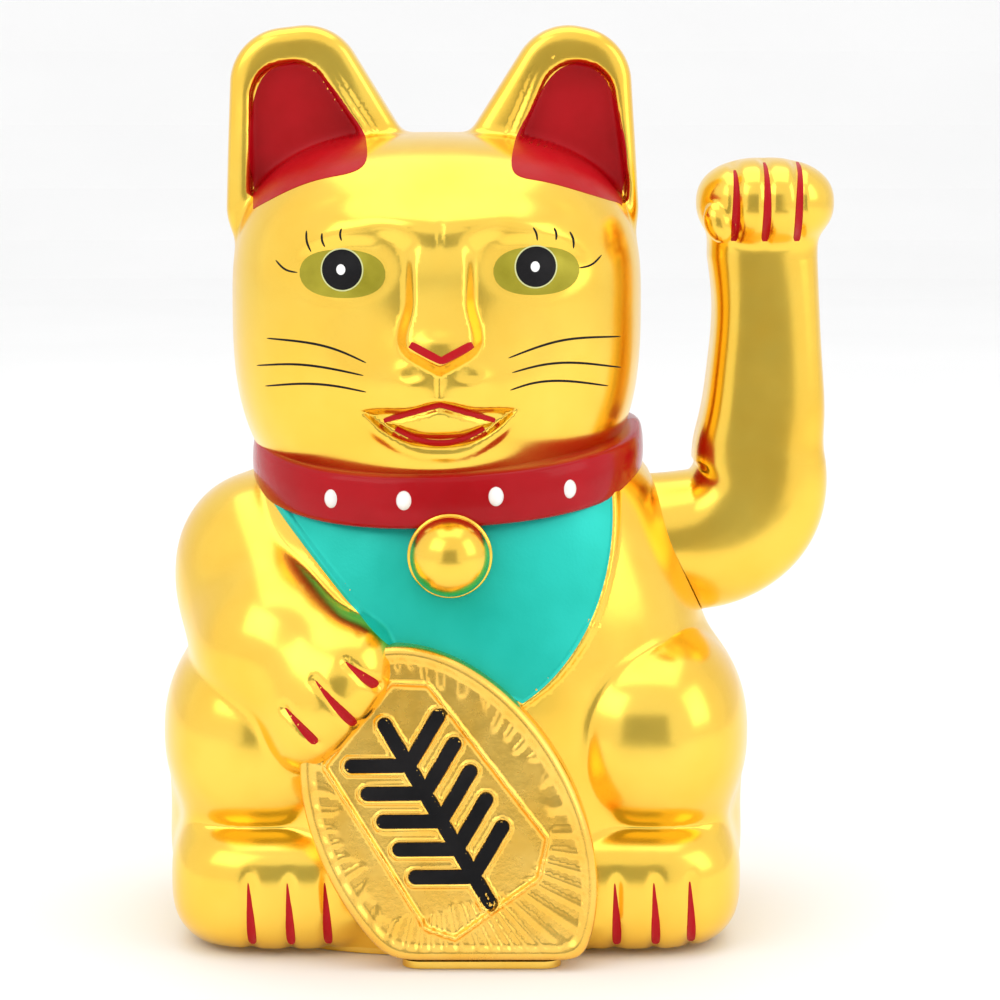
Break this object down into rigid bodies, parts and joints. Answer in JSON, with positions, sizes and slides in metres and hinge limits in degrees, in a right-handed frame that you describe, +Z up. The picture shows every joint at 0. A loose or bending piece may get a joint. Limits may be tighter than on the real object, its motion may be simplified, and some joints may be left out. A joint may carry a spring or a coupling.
{
  "type": "beckoning cat figurine",
  "caption": "Sitting gold cat figurine with a battery driven waving left arm, red collar with bell, teal bib and an oval coin plaque.",
  "frame": {"origin": "centre of the base plate's underside", "axes": "+Z up, the cat looks along -Y, its raised left arm is at +X"},
  "size_m": [0.1484, 0.1034, 0.2],
  "materials": {
    "shell_gold": "mirror gloss, vacuum-metallised gold lacquer",
    "plaque_gold": "satin gold lacquer",
    "collar_red": "gloss red lacquer",
    "stud_white": "gloss white dots",
    "bib_teal": "pearl teal paint on the front shell",
    "paint_red": "gloss red paint on ears, mouth and claws",
    "paint_black": "black paint on eyes, whiskers and plaque",
    "base_gold": "gold lacquered moulding",
    "door_gold": "gold lacquered moulding with grip ribs",
    "moulding_white": "natural white moulding",
    "moulding_black": "black moulding",
    "steel": "zinc plated",
    "magnet_steel": "nickel plated",
    "spring_steel": "nickel plated wire and strip",
    "copper_wire": "enamelled copper wire",
    "board": "phenolic paper board",
    "component_body": "moulded component body",
    "resistor_body": "lacquered resistor body",
    "cell_jacket": "plain printed film jacket",
    "wire_red": "PVC insulation",
    "wire_black": "PVC insulation"
  },
  "bodies": {
    "figurine": {"front_shell": "shell_gold", "rear_shell": "shell_gold", "collar": "collar_red", "collar_studs": "stud_white", "bell": "shell_gold", "coin_plaque": "plaque_gold", "base_plate": "base_gold", "base_screws": "steel", "battery_tray": "moulding_black", "battery_cell": "cell_jacket", "contact_spring": "spring_steel", "contact_tab_front": "spring_steel", "contact_tab_rear": "spring_steel", "movement_frame": "moulding_white", "movement_screws": "steel", "coil_bobbin": "moulding_white", "coil_winding": "copper_wire", "circuit_board": "board", "transistor": "component_body", "capacitor": "component_body", "resistor": "resistor_body", "switch_housing": "steel", "pivot_clip": "steel", "lead_red": "wire_red", "lead_switch": "wire_red", "lead_black": "wire_black"},
    "waving_arm": {"arm_front_half": "shell_gold", "arm_rear_half": "shell_gold", "shoulder_plug": "moulding_white", "pendulum_lever": "moulding_white", "pivot_pin": "steel", "pendulum_weight": "steel", "pendulum_magnet": "magnet_steel"},
    "battery_door": {"battery_door": "door_gold"},
    "switch_slider": {"switch_slider": "moulding_black"}
  },
  "joints": [
    {"name": "arm_swing", "type": "hinge", "parent": "figurine", "child": "waving_arm", "pos_m": [0.024, 0, 0.085], "axis": [1, 0, 0], "range_deg": [-18, 18]},
    {"name": "door_hinge", "type": "hinge", "parent": "figurine", "child": "battery_door", "pos_m": [-0.022, 0.0292, 0.0011], "axis": [1, 0, 0], "range_deg": [0, 90]},
    {"name": "switch_slide", "type": "slide", "parent": "figurine", "child": "switch_slider", "axis": [1, 0, 0], "range_m": [0, 0.002]}
  ]
}
